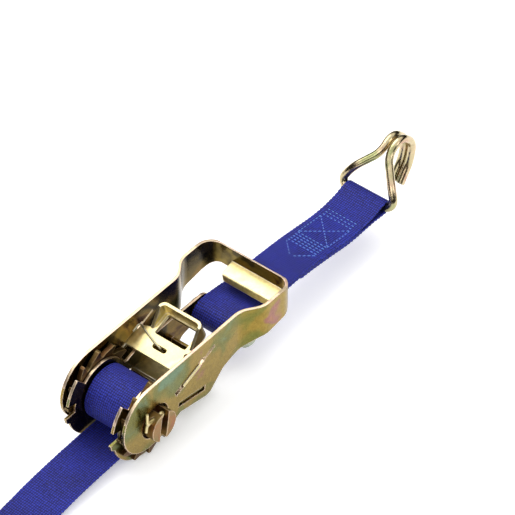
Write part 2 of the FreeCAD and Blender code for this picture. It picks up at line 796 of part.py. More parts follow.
def hook_shape():
    """A double-J wire hook: base bar, two converging legs, two side-by-side hooks.

    The bar lies on Y through the origin and the hook reaches towards +X.
    """
    wire = cell("hook_wire").number / 2
    half = cell("hook_half").number - wire
    neck = wire + 0.15
    halves = []
    for sign in (-1, 1):
        halves.append(wire_piece([
            (0, -0.5 * sign, 0), (0, (half + 3.5) * sign, 0), (4.5, 12.3 * sign, 11.0),
            (14.5, neck * sign, 19.3), (24.0, neck * sign, 26.0), (35.5, neck * sign, 15.0),
            (33.0, neck * sign, 3.0), (25.8, neck * sign, -7.3)],
            [4.2, 20.0, 14.0, 8.0, 10.0, 20.0], wire))
    return halves[0].fuse(halves[1]).removeSplitter()


def make_hook():
    """The hook on the short strap."""
    pieces.append(plain_piece(
        "double_j_hook", hook_shape(), along=cell("hook_along"), up=HOOK_BAR_UP))


# ---------------------------------------------------------------- long strap

END_HOOK_LEAN = 9.4
LAY_GAP = 0.35
ROLL_GAP = 0.05


def make_long_strap():
    """The free run of the long strap and its stowed roll."""
    body = new_body("strap_run")
    side = new_sketch(body, "run_side", "XZ_Plane")
    top = -(cell("wound_radius") + LAY_GAP)
    low = -cell("axis_height")
    web = cell("web_thick")
    start = cell("roll_along") + 1.0
    draw_outline(side, [
        (4.0, top - web), (4.0, top), (-12.0, top, 60.0), (-52.0, top - 1.6, 60.0),
        (-88.0, low + web, 60.0), (start, low + web), (start, low), (-88.4, low, 60.0),
        (-52.2, top - 1.6 - web, 60.0), (-12.0, top - web, 60.0)])
    pad(body, side, cell("web_width"), both_ways=True)
    document.recompute()
    pieces.append(body)

    body = new_body("stowed_roll", along=cell("roll_along"),
                    up=cell("roll_radius") + web + ROLL_GAP - cell("axis_height"))
    disc = new_sketch(body, "roll_disc", "XZ_Plane")
    draw_circle(disc, 0, 0, cell("roll_radius"))
    pad(body, disc, cell("web_width"), both_ways=True)
    document.recompute()
    pieces.append(body)


def make_end_hook():
    """The long strap's sewn end, down the roll's side to the ground, and its hook."""
    thick = cell("web_thick")
    wire = cell("hook_wire") / 2
    loop = wire + LOOP_SLACK + thick
    ground = -cell("axis_height")
    left = cell("roll_along") - cell("roll_radius") - LAY_GAP
    bar = left - 28.5
    bar_up = ground + loop
    roll_up = cell("roll_radius") + thick + ROLL_GAP - cell("axis_height")
    body = new_body("end_strap")
    side = new_sketch(body, "end_strap_side", "XZ_Plane")
    draw_outline(side, [
        (left, roll_up),
        (left - thick, roll_up),
        (left - thick, roll_up - 14.0),
        (left - thick * 2, roll_up - 16.0),
        (left - thick * 2, ground + thick * 2, 10.0),
        (bar + 7.0, ground + thick * 2, 4.0),
        (bar, bar_up + loop, "bend", loop),
        (bar - loop, bar_up, "bend", loop),
        (bar, ground),
        (left, ground, 13.0)])
    pad(body, side, cell("web_width"), both_ways=True)
    document.recompute()
    cut_circle(body, "end_hook_eye", "XZ_Plane", bar, bar_up, wire + LOOP_SLACK)
    pieces.append(body)
    pieces.append(plain_piece(
        "end_hook", hook_shape(), along=bar, up=bar_up, lean=END_HOOK_LEAN, facing=180))


# ---------------------------------------------------------------- make and write

make_frame()
make_bolt()
make_frame_pawl()
make_handle()
make_handle_pawl()
make_springs()
make_mandrel()
make_wheels()
make_cotter_pins()
make_wound_strap()
make_fixed_strap()
make_hook()
make_long_strap()
make_end_hook()
document.recompute()

for item in document.Objects:
    if "Invalid" in item.State or "Error" in item.State:
        raise RuntimeError("%s failed: %s" % (item.Name, item.State))

os.makedirs("parts", exist_ok=True)
for piece in pieces:
    shape = piece.Shape
    if shape.isNull() or not shape.isValid() or not shape.Solids:
        raise RuntimeError("%s has no sound solid" % piece.Label)
    shape.exportStep("parts/%s.step" % piece.Label)
    box = shape.BoundBox
    print("%-20s solids %d volume %9.1f  x %7.1f %7.1f  y %6.1f %6.1f  z %6.1f %6.1f" % (
        piece.Label, len(shape.Solids), shape.Volume,
        box.XMin, box.XMax, box.YMin, box.YMax, box.ZMin, box.ZMax))
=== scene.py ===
"""Looks for a ratchet tie down: plated metal, woven webbing, stitching and a plain studio."""

import json
import math

import bpy
from bpy.props import (
    FloatProperty,
    FloatVectorProperty,
    IntProperty,
    PointerProperty,
    StringProperty,
)
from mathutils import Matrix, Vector, noise


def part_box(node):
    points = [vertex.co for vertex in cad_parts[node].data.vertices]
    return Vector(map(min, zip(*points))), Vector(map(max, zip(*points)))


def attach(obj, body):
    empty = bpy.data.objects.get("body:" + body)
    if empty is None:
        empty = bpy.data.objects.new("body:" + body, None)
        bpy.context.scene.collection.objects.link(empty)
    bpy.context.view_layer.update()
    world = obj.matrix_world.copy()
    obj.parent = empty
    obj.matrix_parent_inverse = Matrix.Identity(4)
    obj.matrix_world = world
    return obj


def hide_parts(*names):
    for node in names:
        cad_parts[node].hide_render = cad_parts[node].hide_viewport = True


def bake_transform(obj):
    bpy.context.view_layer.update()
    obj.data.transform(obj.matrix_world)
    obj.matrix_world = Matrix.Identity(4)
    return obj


bl_info = {
    "name": "Ratchet tie down",
    "version": (1, 0, 0),
    "blender": (4, 5, 0),
    "location": "View3D > Sidebar > Tie down",
    "description": "Webbing, stitching and plated finishes for a ratchet tie down",
    "category": "Object",
}

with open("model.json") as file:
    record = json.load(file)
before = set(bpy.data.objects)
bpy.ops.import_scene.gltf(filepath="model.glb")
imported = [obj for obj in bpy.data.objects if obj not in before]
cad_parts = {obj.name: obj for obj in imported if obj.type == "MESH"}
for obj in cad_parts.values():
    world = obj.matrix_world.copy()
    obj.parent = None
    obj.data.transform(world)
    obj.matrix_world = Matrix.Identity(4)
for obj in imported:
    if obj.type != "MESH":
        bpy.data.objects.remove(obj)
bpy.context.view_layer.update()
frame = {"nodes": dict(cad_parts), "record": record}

MM = 0.001
DRUM_LOW, DRUM_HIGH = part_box("wound_strap")
SPOOL = (Vector(DRUM_LOW) + Vector(DRUM_HIGH)) / 2
WEB_WIDTH = DRUM_HIGH[1] - DRUM_LOW[1]

# Every length from here to the routes is in millimetres, from the spool's middle.
GROUND_UP = -SPOOL.z / MM
LAYER_GAP = 0.12  # between two layers, and between a layer and the ground
BAR_LOOP = 3.3  # from a hook's bar to the middle of the webbing round it
SLEEVE_LOOP = 6.55  # the same, round the bolt's sleeve
HOOK_BAR = (190.0, -2.7)  # the short strap's hook: along, up
END_TO_BAR = 4.05  # from the long strap's outer end to its hook's bar
SHAFT_CLEAR = 8.6  # round the two half-moon shafts
TURNS_START = 51.0  # degrees at which the first turn meets the shafts
ROLL_PITCH = 3.3  # from one folded turn of the roll to the next
ROLL_STEPS = 72  # points in one turn of the roll
ROLL_TUCK = 0.55  # how far the roll's first quarter turn draws in
ARC_STEP = 6.0  # degrees between points on an arc

SELVEDGE = 0.5  # the outermost strip, which the scallops move
SELVEDGE_ROUND = 0.7  # how far in the selvedge starts to round off
SLOW_WAVE = (0.045, 0.06)  # unevenness for each millimetre along and across
QUICK_WAVE = (0.21, 0.16)
SELVEDGE_WAVE = 0.07
SELVEDGE_WANDER = 0.18

THREAD_RADIUS = 0.27
THREAD_SIDES = 6
STITCH_RINGS = 6
STITCH_PITCH = 1.6  # in stitch lengths
STITCH_SUNK = -0.34  # where a stitch's ends lie under the surface
STITCH_RISE = 0.42
SEAM_LEAD = 0.2  # before a seam's first stitch
SEAM_STEP = 0.5
SEAM_HALF = 9.3
FIRST_BAR = (0.0, 2.2, 4.4)
CROSSED_BOX = (6.0, 24.4)
SECOND_BAR = (25.0, 27.0, 29.0, 31.0, 33.0)
SEAM_POINT = (34.0, 43.0)
END_SEAMS = (2.5, 4.9, 7.3, 14.0, 16.4, 18.8)
END_SEAM_HALF = 9.0
PATCH_START = 171.5

LIP_LOW, LIP_HIGH = (84.0, -22.5, 9.0), (96.2, 12.0, 15.5)
PLATES_SIDE = 11.0  # faces further out than this belong to a side plate
FRONT_WALL = 85.0

FLOOR_RADIUS = 30.0  # metres


# ---------------------------------------------------------------- settings

class TieDownWebbing(bpy.types.PropertyGroup):
    """Sizes and colours of the webbing and its thread."""

    thickness: FloatProperty(
        name="Thickness", description="Thickness of one layer of webbing",
        default=1.35 * MM, min=0.5 * MM, max=3 * MM, unit="LENGTH")
    rib_pitch: FloatProperty(
        name="Rib pitch", description="Width of one crown, across the webbing",
        default=1.2 * MM, min=0.3 * MM, max=4 * MM, unit="LENGTH")
    pick_pitch: FloatProperty(
        name="Pick pitch", description="Distance between the ribs that run across the webbing",
        default=1.25 * MM, min=0.3 * MM, max=5 * MM, unit="LENGTH")
    # painted highlight: the crown colour lightens the yarn where it comes to the top
    crown_highlight_colour: StringProperty(
        name="Crown colour", description="sRGB hex of the yarn where it comes to the top",
        default="2B38AA")
    body_colour: StringProperty(
        name="Body colour", description="sRGB hex of most of the yarn", default="120F60")
    # painted shade: the gap colour darkens the yarn between its crowns
    gap_shade_colour: StringProperty(
        name="Gap colour", description="sRGB hex between the yarns", default="03031C")
    thread_colour: StringProperty(
        name="Thread colour", description="sRGB hex of the sewing thread", default="5484D8")
    stitch_length: FloatProperty(
        name="Stitch length", description="Length of one stitch on the surface",
        default=1.5 * MM, min=0.5 * MM, max=5 * MM, unit="LENGTH")
    roll_layers: FloatProperty(
        name="Roll layers", description="Turns of the folded strap in its roll",
        default=13.0, min=2.0, max=13.5)


class TieDownPlating(bpy.types.PropertyGroup):
    """Colours of the plated metal."""

    gold: StringProperty(
        name="Gold", description="sRGB hex of the main plating colour", default="8E7838")
    olive: StringProperty(
        name="Olive", description="sRGB hex of the greener patches", default="706E36")
    teal: StringProperty(
        name="Teal", description="sRGB hex of the blue-green patches", default="667C60")
    rose: StringProperty(
        name="Rose", description="sRGB hex of the pink patches", default="8E6256")
    copper: StringProperty(
        # painted highlight: the pale colour mixed in along the plated parts' edges
        name="Copper", description="sRGB hex of the orange patches", default="9A7038")
    edge: StringProperty(
        name="Edge", description="sRGB hex of worn and cut edges", default="FFE2C8")
    patch_size: FloatProperty(
        name="Patch size", description="Usual distance across a patch of plating colour",
        default=17 * MM, min=2 * MM, max=80 * MM, unit="LENGTH")
    # how far the painted edge highlight and the rounded normals reach in from an edge
    edge_round_and_highlight_reach: FloatProperty(
        name="Edge reach", description="How far wear reaches in from an edge",
        default=0.7 * MM, min=0.05 * MM, max=2 * MM, unit="LENGTH")


class TieDownStudio(bpy.types.PropertyGroup):
    """The camera, the lights and the floor."""

    azimuth: FloatProperty(
        name="Azimuth", description="Camera's turn about the upright",
        default=math.radians(-50.9), subtype="ANGLE")
    elevation: FloatProperty(
        name="Elevation", description="Camera's height above the horizon",
        default=math.radians(43.6), subtype="ANGLE")
    distance: FloatProperty(
        name="Distance", description="From the camera to what it looks at",
        default=1.7, min=0.3, unit="LENGTH")
    width_seen: FloatProperty(
        name="Width seen", description="Width of the view at that distance",
        default=0.2576, min=0.05, unit="LENGTH")
    aim: FloatVectorProperty(
        name="Aim", description="What the camera looks at, from the spool's middle",
        default=(0.11886, 0.01377, -0.0009), size=3, subtype="TRANSLATION", unit="LENGTH")
    floor_colour: StringProperty(
        name="Floor colour", description="sRGB hex of the floor", default="F2F2F2")
    floor_segments: IntProperty(
        name="Floor segments", description="Sides of the round floor", default=96, min=8)


# ---------------------------------------------------------------- colours and nodes

def linear(code):
    """An sRGB hex value as a linear colour with alpha."""
    values = [int(code[i:i + 2], 16) / 255 for i in (0, 2, 4)]
    return tuple(v / 12.92 if v <= 0.04045 else ((v + 0.055) / 1.055) ** 2.4
                 for v in values) + (1.0,)


def add_node(tree, kind, settings=None, links=None, **values):
    """One node with its settings, its socket values and what feeds its sockets.

    A value's socket is its name with _ for each space, or n and its number. A link is the
    output socket that feeds the socket of that name or number.
    """
    node = tree.nodes.new(kind)
    for name, value in (settings or {}).items():
        setattr(node, name, value)
    for name, value in values.items():
        numbered = name[0] == "n" and name[1:].isdigit()
        key = int(name[1:]) if numbered else name.replace("_", " ")
        node.inputs[key].default_value = value
    for key, source in (links or {}).items():
        tree.links.new(source, node.inputs[key])
    return node


def math_node(tree, operation, first, second=None, third=None):
    """The result of one sum; each term is a number or a socket."""
    terms = [t for t in (first, second, third) if t is not None]
    numbers = {"n%d" % i: t for i, t in enumerate(terms) if isinstance(t, (int, float))}
    sockets = {i: t for i, t in enumerate(terms) if not isinstance(t, (int, float))}
    node = add_node(tree, "ShaderNodeMath", {"operation": operation}, sockets, **numbers)
    return node.outputs[0]


def new_material(name):
    """An empty node material and its tree, with an output."""
    material = bpy.data.materials.new(name)
    material.use_nodes = True
    tree = material.node_tree
    tree.nodes.clear()
    tree.nodes.new("ShaderNodeOutputMaterial")
    return material, tree


def show(tree, surface):
    """Lead a shader to the material's output."""
    tree.links.new(surface.outputs[0], tree.nodes["Material Output"].inputs["Surface"])


def fill_ramp(ramp, stops, mode="EASE"):
    """Set a colour ramp's stops: (place, linear colour)."""
    ramp.color_ramp.interpolation = mode
    elements = ramp.color_ramp.elements
    while len(elements) < len(stops):
        elements.new(0.5)
    for element, (position, colour) in zip(elements, stops):
        element.position = position
        element.color = colour


# ---------------------------------------------------------------- materials

def woven_polyester(name="woven_polyester"):
    """Polyester webbing, dyed in the yarn and woven on a narrow loom.

    Ribs run across it, one for each pick of the weft, and the warp breaks them into small
    square crowns, so it looks like a fine grid close by, with a very low sheen. Real ribs
    are about 0.7 mm apart; these are drawn coarser, by the pitches set above, so that
    they show.
    """
    look = bpy.context.scene.tie_down_webbing
    material, tree = new_material(name)
    uv = add_node(tree, "ShaderNodeUVMap", {"uv_map": "weave"})
    parts = add_node(tree, "ShaderNodeSeparateXYZ", links={0: uv.outputs[0]})
    # the ribs sway a little, as a loom's tension does
    sway = add_node(tree, "ShaderNodeTexNoise", links={"Vector": uv.outputs[0]},
                    Scale=240.0, Detail=3.0)
    swayed = math_node(tree, "MULTIPLY_ADD", sway.outputs["Fac"], 1.1, -0.55)
    across = math_node(tree, "DIVIDE", parts.outputs[0], look.rib_pitch)
    across = math_node(tree, "ADD", across, swayed)
    along = math_node(tree, "DIVIDE", parts.outputs[1], look.pick_pitch)
    along = math_node(tree, "ADD", along, swayed)
    humps = []
    for phase in (across, along):
        place = math_node(tree, "FRACT", phase)
        side = math_node(tree, "MULTIPLY_ADD", place, 2.0, -1.0)
        humps.append(math_node(tree, "SUBTRACT", 1.0, math_node(tree, "MULTIPLY", side, side)))
    crown = math_node(tree, "MULTIPLY", math_node(tree, "MULTIPLY_ADD", humps[1], 0.7, 0.3),
                      math_node(tree, "MULTIPLY_ADD", humps[0], 0.7, 0.3))
    # fine filaments inside each yarn, drawn coarser than their 0.03 mm so that they show
    filaments = add_node(tree, "ShaderNodeTexNoise", {"noise_dimensions": "2D"},
                         {"Vector": add_node(tree, "ShaderNodeMapping", links={0: uv.outputs[0]},
                                             Scale=(7000.0, 1600.0, 1.0)).outputs[0]},
                         Scale=1.0, Detail=2.0)
    height = math_node(tree, "MULTIPLY_ADD", filaments.outputs["Fac"], 0.3, crown)
    # dye and wear vary over a few centimetres
    fade = add_node(tree, "ShaderNodeTexNoise", links={"Vector": uv.outputs[0]},
                    Scale=55.0, Detail=3.0, Roughness=0.6)
    # some yarns take up more dye than their neighbours
    yarn = add_node(tree, "ShaderNodeTexNoise", links={"Vector": uv.outputs[0]},
                    Scale=700.0, Detail=1.0)
    uneven = math_node(tree, "MULTIPLY_ADD", yarn.outputs["Fac"], 0.7, -0.4)
    shade = math_node(tree, "ADD", math_node(tree, "ADD", crown, uneven),
                      math_node(tree, "MULTIPLY_ADD", fade.outputs["Fac"], 0.5, -0.25))
    # the crowns' height also sets the colour: painted highlight on the crowns and painted shade in
    # the gaps, over the yarns' own uneven dye
    ramp = add_node(tree, "ShaderNodeValToRGB", links={0: shade})
    fill_ramp(ramp, [(0.02, linear(look.gap_shade_colour)), (0.42, linear(look.body_colour)),
                     (1.0, linear(look.crown_highlight_colour))], "LINEAR")
    bump = add_node(tree, "ShaderNodeBump", links={"Height": height},
                    Strength=0.8, Distance=0.28 * MM)
    rough = math_node(tree, "MULTIPLY_ADD", fade.outputs["Fac"], 0.2, 0.48)
    cloth = add_node(tree, "ShaderNodeBsdfPrincipled", links={
        "Base Color": ramp.outputs[0], "Normal": bump.outputs[0], "Roughness": rough},
        Sheen_Weight=0.06, Sheen_Roughness=0.4, Sheen_Tint=(0.4, 0.45, 1.0, 1.0),
        IOR=1.54, Specular_IOR_Level=0.25)
    show(tree, cloth)
    return material


def bonded_thread(name="bonded_polyester_thread"):
    """Bonded polyester thread: round, twisted, glossier and paler than the webbing."""
    look = bpy.context.scene.tie_down_webbing
    material, tree = new_material(name)
    uv = add_node(tree, "ShaderNodeUVMap", {"uv_map": "weave"})
    # the twist's strands lie about 0.6 mm apart
    twist = add_node(tree, "ShaderNodeTexWave",
                     {"wave_type": "BANDS", "bands_direction": "DIAGONAL"},
                     {"Vector": uv.outputs[0]}, Scale=700.0, Distortion=0.4)
    ramp = add_node(tree, "ShaderNodeValToRGB", links={0: twist.outputs["Fac"]})
    pale = linear(look.thread_colour)
    fill_ramp(ramp, [(0.0, tuple(v * 0.6 for v in pale[:3]) + (1.0,)), (0.6, pale)])
    bump = add_node(tree, "ShaderNodeBump", links={"Height": twist.outputs["Fac"]},
                    Strength=0.5, Distance=0.08 * MM)
    thread = add_node(tree, "ShaderNodeBsdfPrincipled", links={
        "Base Color": ramp.outputs[0], "Normal": bump.outputs[0]},
        Roughness=0.38, Sheen_Weight=0.2, IOR=1.54)
    show(tree, thread)
    return material


def plated_steel(name, tints, edge, roughness, patch, grain=0.35, edge_highlight=1.0):
    """Steel with a chromate-passivated zinc plating, made by the process its name gives.

    tints are (place, hex) stops of the film's interference colours. They drift over the
    surface in soft patches, whose size patch scales; a pale painted highlight is mixed in
    along every edge, its colour given by edge and its strength scaled by the last argument.
    """
    look = bpy.context.scene.tie_down_plating
    material, tree = new_material(name)
    coords = add_node(tree, "ShaderNodeTexCoord").outputs["Object"]
    askew = add_node(tree, "ShaderNodeMapping", links={0: coords},
                     Rotation=(0.0, 0.4, 0.3)).outputs[0]
    size = 1.0 / (look.patch_size * patch)
    drift = add_node(tree, "ShaderNodeTexNoise", links={"Vector": askew},
                     Scale=size, Detail=2.5, Roughness=0.45, Distortion=0.6)
    spread = math_node(tree, "MULTIPLY_ADD", drift.outputs["Fac"], 1.7, -0.35)
    tint = add_node(tree, "ShaderNodeValToRGB", links={0: spread})
    fill_ramp(tint, [(place, linear(code)) for place, code in tints])
    # small dull stains, 2 to 3 mm across, where the bath dried
    stain = add_node(tree, "ShaderNodeTexNoise", links={"Vector": coords},
                     Scale=420.0, Detail=4.0, Roughness=0.65)
    stained = math_node(tree, "MULTIPLY_ADD", stain.outputs["Fac"], 0.7, 0.6)
    toned = add_node(tree, "ShaderNodeVectorMath", {"operation": "SCALE"},
                     {0: tint.outputs[0], "Scale": stained})
    # painted highlight along the edges: an edge shows where the rounded-off normal parts from the
    # true one
    rounded = add_node(tree, "ShaderNodeBevel", {"samples": 4}, Radius=look.edge_round_and_highlight_reach)
    true = add_node(tree, "ShaderNodeNewGeometry").outputs["Normal"]
    along = add_node(tree, "ShaderNodeVectorMath", {"operation": "DOT_PRODUCT"},
                     {0: rounded.outputs[0], 1: true}).outputs["Value"]
    turned = math_node(tree, "SUBTRACT", 1.0, along)
    # painted highlight along the edges, stronger or weaker for each finish
    painted_edge_highlight = math_node(tree, "MULTIPLY", turned, 14.0 * edge_highlight)
    broken_edge_highlight = math_node(tree, "MULTIPLY", painted_edge_highlight, math_node(
        tree, "MULTIPLY_ADD", stain.outputs["Fac"], 1.2, 0.4))
    edge_highlight_share = add_node(tree, "ShaderNodeClamp", links={0: broken_edge_highlight}, Max=0.85).outputs[0]
    colour = add_node(tree, "ShaderNodeMix", {"data_type": "RGBA"},
                      {0: edge_highlight_share, 6: toned.outputs[0]}, n7=linear(edge)).outputs[2]
    # press and tumbling marks of about 0.4 mm
    marks = add_node(tree, "ShaderNodeTexNoise", links={"Vector": coords},
                     Scale=2600.0, Detail=3.0, Roughness=0.7)
    swell = math_node(tree, "MULTIPLY_ADD", stain.outputs["Fac"], 1.4, marks.outputs["Fac"])
    bump = add_node(tree, "ShaderNodeBump", links={"Height": swell, "Normal": rounded.outputs[0]},
                    Strength=grain, Distance=0.05 * MM)
    rough = math_node(tree, "MULTIPLY_ADD", stain.outputs["Fac"], 0.22, roughness - 0.08)
    metal = add_node(tree, "ShaderNodeBsdfPrincipled", links={
        "Base Color": colour, "Normal": bump.outputs[0], "Roughness": rough}, Metallic=1.0)
    show(tree, metal)
    return material


def matt_acrylic(name="matt_white_acrylic"):
    """The studio's floor: matt white acrylic, lit a little from below so shadows stay light."""
    look = bpy.context.scene.tie_down_studio
    material, tree = new_material(name)
    coords = add_node(tree, "ShaderNodeTexCoord").outputs["Object"]
    tooth = add_node(tree, "ShaderNodeTexNoise", links={"Vector": coords},
                     Scale=900.0, Detail=2.0)
    bump = add_node(tree, "ShaderNodeBump", links={"Height": tooth.outputs["Fac"]},
                    Strength=0.08, Distance=0.05 * MM)
    board = add_node(tree, "ShaderNodeBsdfPrincipled", links={"Normal": bump.outputs[0]},
                     Base_Color=linear(look.floor_colour), Roughness=0.9,
                     Specular_IOR_Level=0.1, Emission_Color=(1.0, 1.0, 1.0, 1.0),
                     Emission_Strength=0.35)
    show(tree, board)
    return material


# ---------------------------------------------------------------- lines for the webbing

def round_off(corners, rounds=3):
    """Cut a line's corners again and again until it is smooth."""
    line = [Vector(c) for c in corners]
    for _ in range(rounds):
        cut = [line[0]]
        for a, b in zip(line, line[1:]):
            cut += [a.lerp(b, 0.25), a.lerp(b, 0.75)]
        line = cut + [line[-1]]
    return line


def swing(centre, radius, start, stop, grow=0.0):
    """Points on an arc in degrees, whose radius may grow by an amount for each full turn."""
    count = max(2, int(abs(stop - start) / ARC_STEP) + 1)
    points = []
    for i in range(count + 1):
        angle = start + (stop - start) * i / count
        reach = radius + grow * abs(angle - start) / 360.0
        turned = math.radians(angle)
        points.append(Vector((centre[0] + reach * math.cos(turned),
                              centre[1] + reach * math.sin(turned))))
    return points


def respace(line, gap):
    """The same line with equal steps: a list of (along, up), and its length."""
    kept = [line[0]] + [b for a, b in zip(line, line[1:]) if (b - a).length > 1e-6]
    lengths = [0.0]
    for a, b in zip(kept, kept[1:]):
        lengths.append(lengths[-1] + (b - a).length)
    total = lengths[-1]
    count = max(2, round(total / gap))
    spaced, at = [], 0
    for i in range(count + 1):
        want = total * i / count
        while at < len(kept) - 2 and lengths[at + 1] < want:
            at += 1
        share = (want - lengths[at]) / max(lengths[at + 1] - lengths[at], 1e-9)
        spaced.append(kept[at].lerp(kept[at + 1], min(max(share, 0.0), 1.0)))
    return spaced, total


def frames_along(line):
    """At each point of a line: the point, its heading and its upper side, in millimetres."""
    frames = []
    for i, point in enumerate(line):
        heading = (line[min(i + 1, len(line) - 1)] - line[max(i - 1, 0)]).normalized()
        frames.append((point, heading, Vector((-heading.y, heading.x))))
    return frames


def placed(along, across, up):
    """A point in the row frame, from millimetres about the spool's middle."""
    return SPOOL + Vector((along, across, up)) * MM


def band_section(width, thick):
    """The webbing's cross-section in millimetres: flat faces and full, round selvedges."""
    half = width / 2
    flat = [(-1 + 2 * i / 10) * (half - SELVEDGE_ROUND) for i in range(11)]
    upper = [(y, thick / 2) for y in flat]
    edge = [(half - 0.25, thick * 0.42), (half, thick * 0.16), (half, -thick * 0.16),
            (half - 0.25, -thick * 0.42)]
    lower = [(y, -h) for y, h in reversed(upper)]
    return upper + edge + lower + [(-y, h) for y, h in reversed(edge)]


def tube_faces(first, rings, around, flipped=False):
    """The faces of a tube of vertex rings, closed at both ends; first is its first vertex."""
    faces = []
    for i in range(rings - 1):
        near = first + i * around
        far = near + around
        for j in range(around):
            k = (j + 1) % around
            side = (near + j, far + j, far + k, near + k)
            faces.append(side[:1] + side[:0:-1] if flipped else side)
    start = tuple(range(first, first + around))
    end = tuple(range(first + (rings - 1) * around, first + rings * around))
    return faces + ([start[::-1], end] if flipped else [start, end[::-1]])


def new_mesh_object(name, verts, faces, weave, material):
    """A mesh with its weave map: one (across, along) pair in metres for each vertex."""
    mesh = bpy.data.meshes.new(name)
    mesh.from_pydata(verts, [], faces)
    layer = mesh.uv_layers.new(name="weave")
    for loop in mesh.loops:
        layer.data[loop.index].uv = weave[loop.vertex_index]
    for polygon in mesh.polygons:
        polygon.use_smooth = True
    mesh.materials.append(material)
    mesh.validate()
    thing = bpy.data.objects.new(name, mesh)
    bpy.context.collection.objects.link(thing)
    return thing


def webbing_band(name, line, gap, ripple, scallop, seed):
    """One strip of webbing along a line in millimetres, and its length in metres.

    The selvedge is scalloped by the weft, which turns back there every two picks.
    """
    look = bpy.context.scene.tie_down_webbing
    spaced, total = respace(line, gap)
    section = band_section(WEB_WIDTH / MM, look.thickness / MM)
    verts, weave = [], []
    step = total / (len(spaced) - 1)
    turn_back = 2 * look.pick_pitch / MM
    outermost = WEB_WIDTH / MM / 2 - SELVEDGE
    for i, (point, _, upper) in enumerate(frames_along(spaced)):
        run = i * step
        for across, height in section:
            slow = noise.noise(Vector((
                run * SLOW_WAVE[0] + seed, across * SLOW_WAVE[1], seed)))
            quick = noise.noise(Vector((
                run * QUICK_WAVE[0], across * QUICK_WAVE[1], seed + 5)))
            lift = ripple * slow + ripple * 0.4 * quick
            bulge = 0.0
            if abs(across) > outermost:
                bulge = -scallop * (0.5 + 0.5 * math.cos(2 * math.pi * run / turn_back))
                bulge -= SELVEDGE_WANDER * abs(
                    noise.noise(Vector((run * SELVEDGE_WAVE, seed, across))))
            side = across + math.copysign(bulge, across)
            spot = point + upper * (height + lift)
            verts.append(placed(spot.x, side, spot.y))
            weave.append((across * MM + 0.5, run * MM))
    faces = tube_faces(0, len(spaced), len(section))
    material = bpy.data.materials.get("woven_polyester") or woven_polyester()
    return new_mesh_object(name, verts, faces, weave, material), total * MM


def stitch_rings(points):
    """The vertices and weave pairs round one stitch, from its (point, upper side) pairs."""
    verts, weave = [], []
    last = len(points) - 1
    for k, (point, upper) in enumerate(points):
        ahead = (points[min(k + 1, last)][0] - points[max(k - 1, 0)][0]).normalized()
        beside = ahead.cross(upper.normalized()).normalized()
        rise = beside.cross(ahead)
        for j in range(THREAD_SIDES):
            turned = 2 * math.pi * j / THREAD_SIDES
            out = beside * math.cos(turned) + rise * math.sin(turned)
            verts.append(point + out * THREAD_RADIUS * MM)
            weave.append((j * 0.3 * MM, k * 0.38 * MM))
    return verts, weave


def stitch_seams(name, line, seams):
    """Stitches laid on the upper side of a strap's line.

    seams are runs of thread: each is a list of (distance along, across) in millimetres.
    """
    look = bpy.context.scene.tie_down_webbing
    spaced, total = respace(line, SEAM_STEP)
    frames = frames_along(spaced)
    thick = look.thickness / MM
    long = look.stitch_length / MM
    pitch = long * STITCH_PITCH
    verts, weave, faces = [], [], []

    def on_top(run, across, lift):
        place = min(max(run / total * (len(frames) - 1), 0), len(frames) - 1.001)
        low = int(place)
        point = frames[low][0].lerp(frames[low + 1][0], place - low)
        upper = frames[low][2]
        spot = point + upper * (thick / 2 + lift)
        return placed(spot.x, across, spot.y), placed(upper.x, 0, upper.y) - SPOOL

    def one_stitch(begin, end, corner, far_corner):
        points = []
        for k in range(STITCH_RINGS):
            share = begin + (end - begin) * k / (STITCH_RINGS - 1)
            bow = math.sin(math.pi * k / (STITCH_RINGS - 1))
            points.append(on_top(corner[0] + (far_corner[0] - corner[0]) * share,
                                 corner[1] + (far_corner[1] - corner[1]) * share,
                                 STITCH_SUNK + STITCH_RISE * bow))
        return stitch_rings(points)

    for seam in seams:
        for corner, far_corner in zip(seam, seam[1:]):
            reach = math.hypot(far_corner[0] - corner[0], far_corner[1] - corner[1])
            for number in range(max(1, int(reach / pitch + 0.5))):
                begin = (number * pitch + SEAM_LEAD) / reach
                if begin >= 1.0:
                    continue
                end = min(begin + long / reach, 1.0)
                faces += tube_faces(len(verts), STITCH_RINGS, THREAD_SIDES, flipped=True)
                rings, pairs = one_stitch(begin, end, corner, far_corner)
                verts += rings
                weave += pairs
    material = bpy.data.materials.get("bonded_polyester_thread") or bonded_thread()
    return new_mesh_object(name, verts, faces, weave, material)


def box_seams(start):
    """A sewn patch: a bar of rows, a crossed box, a second bar, then a short point."""
    def at(run, across):
        return (start - run, across)

    half = SEAM_HALF
    near, far = CROSSED_BOX
    base, tip = SEAM_POINT
    seams = [[at(row, -half), at(row, half)] for row in FIRST_BAR + SECOND_BAR]
    seams += [[at(near, -half), at(far, half)], [at(near, half), at(far, -half)]]
    seams += [[at(near, side), at(far, side)] for side in (-half, half)]
    seams += [[at(base, -half), at(tip, 0.0)], [at(base, half), at(tip, 0.0)]]
    return seams


# ---------------------------------------------------------------- the straps' routes

def middle_of(node):
    """The middle of a CAD node's box: (along, up)."""
    low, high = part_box(node)
    return ((low[0] + high[0]) / 2 / MM - SPOOL.x / MM,
            (low[2] + high[2]) / 2 / MM - SPOOL.z / MM)


